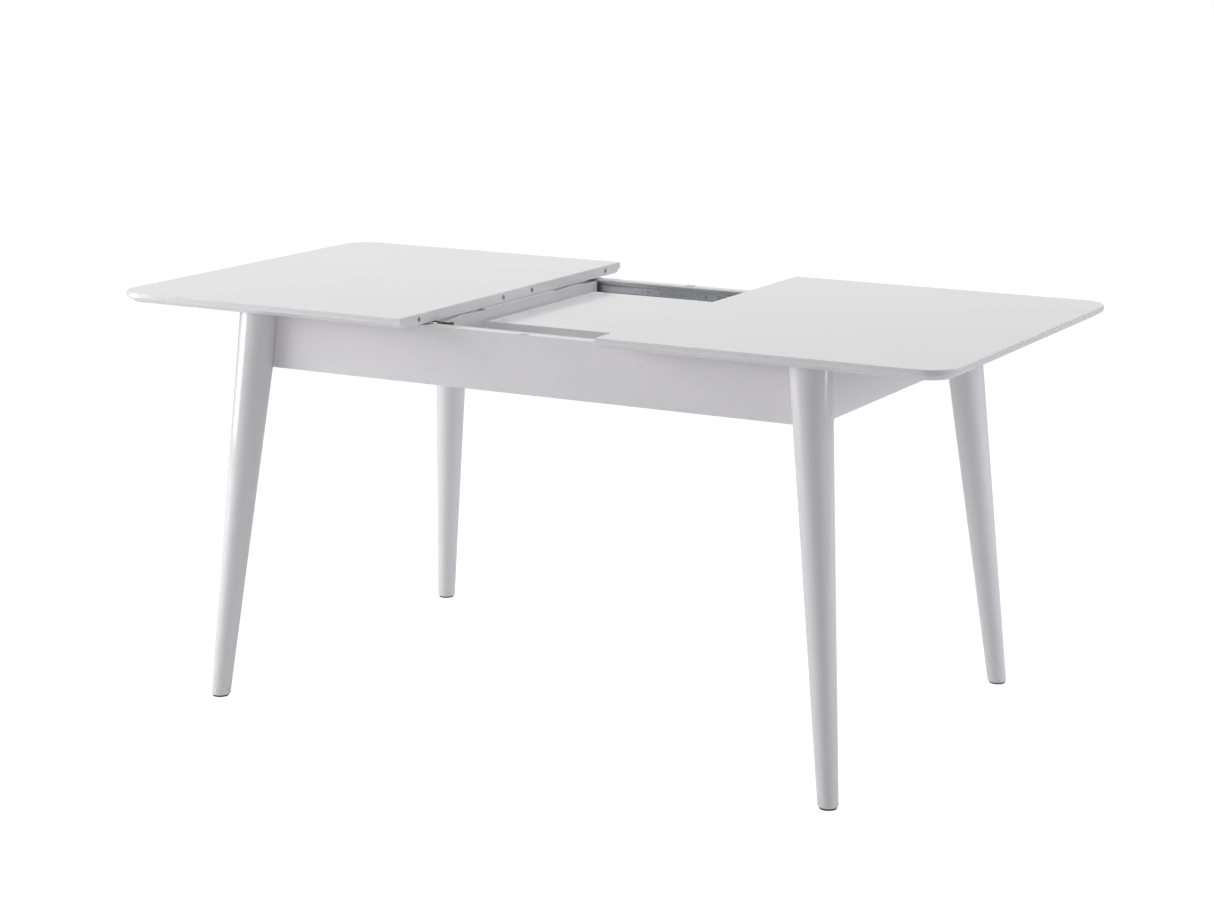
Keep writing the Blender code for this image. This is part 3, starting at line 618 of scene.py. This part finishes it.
def make_piece(name, bm, node, finish=None, replaced=True):
    """Finishes a bmesh as a piece that goes with a solid: its body, slot and place."""
    bmesh.ops.remove_doubles(bm, verts=bm.verts, dist=1e-6)
    bmesh.ops.recalc_face_normals(bm, faces=bm.faces)
    mesh = bpy.data.meshes.new(name)
    bm.to_mesh(mesh)
    bm.free()
    mesh.materials.append(finish or FINISHES[SLOT_OF[node]])
    mesh.shade_smooth()
    mesh.set_sharp_from_angle(angle=SMOOTH_BELOW)
    piece = link(bpy.data.objects.new(name, mesh))
    even = piece.modifiers.new("flat_stays_flat", "WEIGHTED_NORMAL")
    even.keep_sharp = True
    if replaced:
        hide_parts(node)
    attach(piece, BODY_OF[node])
    return piece


# %% [markdown]
# ## The halves of the top
# Each half is a fibreboard panel. Its rim has an upright band, and below it a wide chamfer that
# makes the top look thin. The two outer corners are round. The inner edge is sawn square, and
# holes for the dowels are drilled in it. One block makes it all: bevel the upright edges for the
# corners, inset the underside for the chamfer, cut off the spare at the inner edge, ease the
# arrises, and drill last, so that the holes keep a crisp mouth. The rim is eased more than the
# sawn edge, as a hand would.

# %% Cut and ease the halves
CORNER_RADIUS, CORNER_STEPS = 0.055, 28
RIM_BAND = 0.0105               # height of the upright band
CHAMFER = 0.016                 # how far the chamfer runs in under the top
SPARE = 0.04
RIM_EASE, SAWN_EASE = 0.0016, 0.0005
RIM_SHARP, SAWN_SHARP = radians(20), radians(50)    # the chamfer turns little, and is eased too
DOWEL_HOLE, DOWEL_HOLE_DEPTH = 0.0048, 0.018
HALF_HOLES = [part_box(f"dowel_{number}") for number in (1, 2, 3, 4)]


def drill(bm, edge, inward, spots):
    """Dowel holes in a board's edge, at these (y, z) spots."""
    bits = bmesh.new()
    for y, z in spots:
        begin, end = (edge - inward * PAST, y, z), (edge + inward * DOWEL_HOLE_DEPTH, y, z)
        round_bar(bits, begin, end, DOWEL_HOLE)
    return combine(bm, bits)


def middle_of(box):
    return (box[0] + box[1]) / 2


for side, sign in SIDES.items():
    node = "top_half_" + side
    low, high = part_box(node)
    inner = low.x if sign > 0 else high.x
    thick = high.z - low.z
    low.z = high.z - RIM_BAND
    (low if sign > 0 else high).x -= sign * SPARE
    bm = start()
    block(bm, low, high)
    corners = [
        edge for edge in bm.edges
        if abs(edge.verts[0].co.z - edge.verts[1].co.z) > RIM_BAND / 2
        and all(sign * vert.co.x > sign * inner for vert in edge.verts)
    ]
    bmesh.ops.bevel(
        bm, geom=corners, offset=CORNER_RADIUS, segments=CORNER_STEPS, profile=0.5,
        affect="EDGES", material=-1,
    )
    under = [face for face in bm.faces if face.normal.z < -0.9]
    bmesh.ops.inset_region(
        bm, faces=under, thickness=CHAMFER, depth=thick - RIM_BAND, use_even_offset=True
    )
    bmesh.ops.bisect_plane(
        bm, geom=bm.verts[:] + bm.edges[:] + bm.faces[:], plane_co=(inner, 0, 0),
        plane_no=(sign, 0, 0), clear_inner=True,
    )
    bmesh.ops.holes_fill(bm, edges=[edge for edge in bm.edges if edge.is_boundary])
    bmesh.ops.recalc_face_normals(bm, faces=bm.faces)
    rim = [edge for edge in sharp_edges(bm, RIM_SHARP) if not lies_at(edge, X, inner)]
    ease(bm, rim, RIM_EASE, 4)
    sawn = [edge for edge in sharp_edges(bm, SAWN_SHARP) if lies_at(edge, X, inner)]
    ease(bm, sawn, SAWN_EASE, 2)
    bm = drill(bm, inner, sign, [(middle_of(hole).y, middle_of(hole).z) for hole in HALF_HOLES])
    piece = make_piece(side + "_half", bm, node)
    print(piece.name, len(piece.data.polygons), "faces,", len(HALF_HOLES), "dowel holes")

# %% [markdown]
# ## Turned legs
# The legs are beech, turned to a straight taper and set leaning out both ways. The frame knows
# the leg as a ring at the top and a ring at the foot, so those are measured, and a long cone is
# laid through both. It is sawn level at the two heights, and the foot is rounded over, so that it
# doesn't chip when the table is dragged.

# %% Turn the legs
LEG_SIDES = 96
PAST_SAW = 0.05                 # of the leg's length, at each end
FOOT_ROUND, HEAD_EASE = 0.0022, 0.0008


def ring_at(node, height):
    """The middle and radius of a solid's level ring at this height."""
    points = [vert.co for vert in frame["nodes"][node].data.vertices]
    ring = [point for point in points if abs(point.z - height) < LEVEL]
    xs, ys = [point.x for point in ring], [point.y for point in ring]
    middle = Vector(((min(xs) + max(xs)) / 2, (min(ys) + max(ys)) / 2, height))
    return middle, (max(xs) - min(xs) + max(ys) - min(ys)) / 4


def saw_level(bm, height, facing):
    """Cuts everything above or below a height away, and closes the cut."""
    bmesh.ops.bisect_plane(
        bm, geom=bm.verts[:] + bm.edges[:] + bm.faces[:], plane_co=(0, 0, height),
        plane_no=(0, 0, facing), clear_outer=True,
    )
    bmesh.ops.holes_fill(bm, edges=[edge for edge in bm.edges if edge.is_boundary])


for end, side in CORNERS:
    node = f"leg_{end}_{side}"
    low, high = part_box(node)
    (foot, foot_radius), (head, head_radius) = ring_at(node, low.z), ring_at(node, high.z)
    past = (head - foot) * PAST_SAW
    grown = (head_radius - foot_radius) * PAST_SAW
    bm = start()
    round_bar(
        bm, foot - past, head + past, foot_radius - grown, head_radius + grown, sides=LEG_SIDES
    )
    saw_level(bm, low.z, -1)
    saw_level(bm, high.z, 1)
    ease(bm, [edge for edge in sharp_edges(bm) if lies_at(edge, Z, low.z)], FOOT_ROUND, 5)
    ease(bm, [edge for edge in sharp_edges(bm) if lies_at(edge, Z, high.z)], HEAD_EASE, 2)
    make_piece(f"{end}_{side}_leg", bm, node, LEG_LACQUER)
    across = [round(2000 * radius) for radius in (head_radius, foot_radius)]
    print(node, "is {} mm across at the top, {} at the foot".format(*across))

# %% [markdown]
# ## Foot pads
# Each leg stands on a thin disc of hard rubber, so that it doesn't mark the floor. It is a short
# round bar, and only its lower rim is eased, because the upper one is against the wood.

# %% Cut the foot pads
PAD_SIDES, PAD_EASE = 48, 0.0008
for end, side in CORNERS:
    node = f"foot_pad_{end}_{side}"
    low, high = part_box(node)
    middle = middle_of((low, high))
    bm = start()
    radius = (high.x - low.x) / 2
    below, above = (middle.x, middle.y, low.z), (middle.x, middle.y, high.z)
    round_bar(bm, below, above, radius, sides=PAD_SIDES)
    ease(bm, [edge for edge in sharp_edges(bm) if lies_at(edge, Z, low.z)], PAD_EASE)
    make_piece(f"{end}_{side}_pad", bm, node)
print("foot pads", round(2000 * radius), "mm across")

# %% [markdown]
# ## Sawn and folded parts
# Aprons, rails, battens, leaf boards, slides and small steel parts are flat-sided solids whose
# shape is settled. A copy of the solid is enough: its triangles are merged back into whole faces,
# and its arrises are eased by an amount that suits the part. A steel strip's bends get a radius
# this way too. Each kind has its own width, given in metres.

# %% Ease the sawn and folded parts
APRON_EASE, BOARD_EASE, BATTEN_EASE, TIMBER_EASE = 0.0010, 0.0009, 0.0008, 0.0012
PLATE_EASE, STRIP_BEND = 0.0004, 0.0005
APRONS = {
    "front": LONG_LACQUER, "back": LONG_LACQUER, "left": CROSS_LACQUER, "right": CROSS_LACQUER
}


def whole_faces(bm):
    """Merges a solid's loose triangles back into whole faces."""
    bmesh.ops.remove_doubles(bm, verts=bm.verts, dist=LEVEL)
    bmesh.ops.dissolve_limit(bm, angle_limit=radians(0.5), verts=bm.verts, edges=bm.edges)


def eased_copy(name, node, width, segments=3, finish=None):
    """A piece that is a copy of a solid, with whole faces and eased arrises."""
    bm = start()
    bm.from_mesh(frame["nodes"][node].data)
    whole_faces(bm)
    ease(bm, sharp_edges(bm), width, segments)
    make_piece(name, bm, node, finish)


for where, lacquer in APRONS.items():
    eased_copy(where + "_apron", "apron_" + where, APRON_EASE, finish=lacquer)
for level in ("lower", "upper"):
    eased_copy(level + "_leaf_board", "leaf_board_" + level, BOARD_EASE)
eased_copy("batten_across", "cross_batten", BATTEN_EASE, finish=CROSS_LACQUER)
for end, side in CORNERS:
    eased_copy(f"{end}_{side}_cleat", f"cleat_{end}_{side}", TIMBER_EASE)
    eased_copy(f"{end}_{side}_block", f"corner_block_{end}_{side}", TIMBER_EASE)
for number in (1, 2, 3):
    eased_copy(f"rail_{number}_under_leaf", f"leaf_rail_{number}", TIMBER_EASE)
for name in ("base", "keeper"):
    eased_copy(f"{name}_of_lock", "lock_" + name, PLATE_EASE, 2)
for end in ENDS:
    eased_copy(f"{end}_slide_channel", "slide_channel_" + end, STRIP_BEND, 2)
for end, side in CORNERS:
    eased_copy(f"{end}_{side}_member", f"slide_member_{end}_{side}", STRIP_BEND, 2)

# %% [markdown]
# ## The hook of the lock
# The hook is a bronzed strip with a thick lug at its end, which grips the post. The solid has the
# lug's thickness all along, so the arm is thinned from below between its eye and the lug.

# %% Thin the hook's arm
ARM_THICK = 0.0014
LUG_LENGTH, EYE_LENGTH = 0.017, 0.013
HOOK_EASE, HOOK_SHARP = 0.0004, radians(50)
low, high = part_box("lock_hook")
bm = start()
bm.from_mesh(frame["nodes"]["lock_hook"].data)
under_arm = bmesh.new()
block(
    under_arm, (low.x + EYE_LENGTH, low.y - PAST, low.z - PAST),
    (high.x - LUG_LENGTH, high.y + PAST, high.z - ARM_THICK),
)
bm = combine(bm, under_arm)
whole_faces(bm)
ease(bm, sharp_edges(bm, HOOK_SHARP), HOOK_EASE, 2)
make_piece("hook_of_lock", bm, "lock_hook")
print("hook", round(1000 * (high.x - low.x)), "mm long, its arm", 1000 * ARM_THICK, "mm thick")

# %% [markdown]
# ## Nylon glides
# A glide keeps the half off the lacquered apron while it runs. It is a small moulded plate with
# two low domes. The domes are short bars with their rims rounded right over, joined to the plate.

# %% Mould the glides
PLATE_SHARE = 0.42              # of the glide's height
GLIDE_PLATE_EASE, DOME_EASE = 0.0003, 0.0011
DOME_INSET = 0.0004             # from the plate's edge
DOME_SUNK = 0.0002              # a dome starts this far up inside the plate
for end in ENDS:
    node = "glide_" + end
    low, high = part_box(node)
    middle = middle_of((low, high))
    quarter = (high.x - low.x) / 4
    bm = start()
    block(bm, low, (high.x, high.y, low.z + PLATE_SHARE * (high.z - low.z)))
    ease(bm, sharp_edges(bm), GLIDE_PLATE_EASE, 2)
    for sign in (-1, 1):
        x = middle.x + sign * quarter
        dome = start()
        below, above = (x, middle.y, low.z + DOME_SUNK), (x, middle.y, high.z)
        round_bar(dome, below, above, quarter - DOME_INSET, sides=32)
        rim = [edge for edge in sharp_edges(dome) if lies_at(edge, Z, high.z)]
        ease(dome, rim, DOME_EASE, 4)
        bm = combine(bm, dome, "UNION")
    make_piece(f"{end}_nylon_glide", bm, node)
print("glides", round(4000 * quarter, 1), "mm long, with two domes each")

# %% [markdown]
# ## Screws
# Pan-head screws hold the slides to the aprons, and countersunk ones hold the cleats and the
# batten to the halves. One head is made of each kind, with its cross cut in, and copied to each
# place. A row of heads is one piece, riding with what it holds.

# %% Make the two kinds of screw head
HEAD_SIDES = 28
CROSS_REACH, CROSS_HALF = 0.55, 0.11    # of the head's radius
CROSS_DEEP = 0.45                       # of its height


def screw_head(radius, height, dome):
    """A head that faces +Z and sits on the plane below it."""
    bm = start()
    round_bar(bm, (0, 0, 0), (0, 0, height), radius, sides=HEAD_SIDES)
    ease(bm, [edge for edge in sharp_edges(bm) if lies_at(edge, Z, height)], dome, 4)
    for turn in (0, pi / 2):
        slot = bmesh.new()
        reach, half, deep = radius * CROSS_REACH, radius * CROSS_HALF, height * CROSS_DEEP
        block(slot, (-reach, -half, height - deep), (reach, half, height + deep))
        turned = Matrix.Rotation(turn, 3, "Z")
        bmesh.ops.rotate(slot, verts=slot.verts, cent=(0, 0, 0), matrix=turned)
        bm = combine(bm, slot)
    mesh = bpy.data.meshes.new("screw_head")
    bm.to_mesh(mesh)
    bm.free()
    return mesh


PAN_HEAD = screw_head(radius=0.0036, height=0.0018, dome=0.0014)
FLAT_HEAD = screw_head(radius=0.0040, height=0.0006, dome=0.0002)
TWIST = radians(37)             # each screw stops at another angle


def screws(name, head, facing, spots, node):
    """A row of heads at these spots, facing the same way, riding with a solid."""
    turn = Vector(facing).to_track_quat("Z", "Y").to_matrix().to_4x4()
    bm = bmesh.new()
    for number, spot in enumerate(spots):
        first = len(bm.verts)
        bm.from_mesh(head)
        bm.verts.ensure_lookup_table()
        place = Matrix.Translation(spot) @ turn @ Matrix.Rotation(TWIST * number, 4, "Z")
        bmesh.ops.transform(bm, matrix=place, verts=bm.verts[first:])
    make_piece(name, bm, node, FINISHES["zinc_steel"], replaced=False)


# %% Put the screws in
SLIDE_SCREWS = (-0.48, -0.36, -0.24, -0.090, -0.060, -0.013, 0.041, 0.070, 0.24, 0.36, 0.48)
CLEAT_SCREWS = (0.12, 0.5, 0.88)            # as shares of the cleat's length
BATTEN_SCREWS = (0.08, 0.36, 0.64, 0.92)
RIB_DEPTH = 0.0030              # the channel's web is pressed out this far, and carries the heads
for end, sign in ENDS.items():
    low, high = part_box("slide_channel_" + end)
    web = (high.y if sign > 0 else low.y) - sign * RIB_DEPTH
    middle = middle_of((low, high))
    spots = [(x + middle.x, web, middle.z) for x in SLIDE_SCREWS]
    screws(f"{end}_slide_screws", PAN_HEAD, (0, -sign, 0), spots, "slide_channel_" + end)
for end, side in CORNERS:
    node = f"cleat_{end}_{side}"
    low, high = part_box(node)
    middle = middle_of((low, high))
    spots = [(low.x + share * (high.x - low.x), middle.y, low.z) for share in CLEAT_SCREWS]
    screws(f"{end}_{side}_cleat_screws", FLAT_HEAD, (0, 0, -1), spots, node)
low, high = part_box("cross_batten")
middle = middle_of((low, high))
spots = [(middle.x, low.y + share * (high.y - low.y), low.z) for share in BATTEN_SCREWS]
screws("batten_screws", FLAT_HEAD, (0, 0, -1), spots, "cross_batten")
print(2 * len(SLIDE_SCREWS) + 4 * len(CLEAT_SCREWS) + len(BATTEN_SCREWS), "screws")

# %% [markdown]
# ## What is left
# Dowels, bolts, hinges and ball cages are right as they are. They keep their own solids and get
# their finishes, and so does every other solid that shows.

# %% Finish what is left
kept = {name: solid for name, solid in frame["nodes"].items() if not solid.hide_render}
for name, solid in kept.items():
    solid.data.materials.clear()
    solid.data.materials.append(FINISHES[SLOT_OF[name]])
print("kept as they are:", ", ".join(sorted(kept)))

# %% Print the size before and after finishing
finished_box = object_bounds()
boxes = {"frame": table_box, "finished": finished_box}
for name, box in boxes.items():
    print(name, [round(v, 4) for corner in box for v in corner])
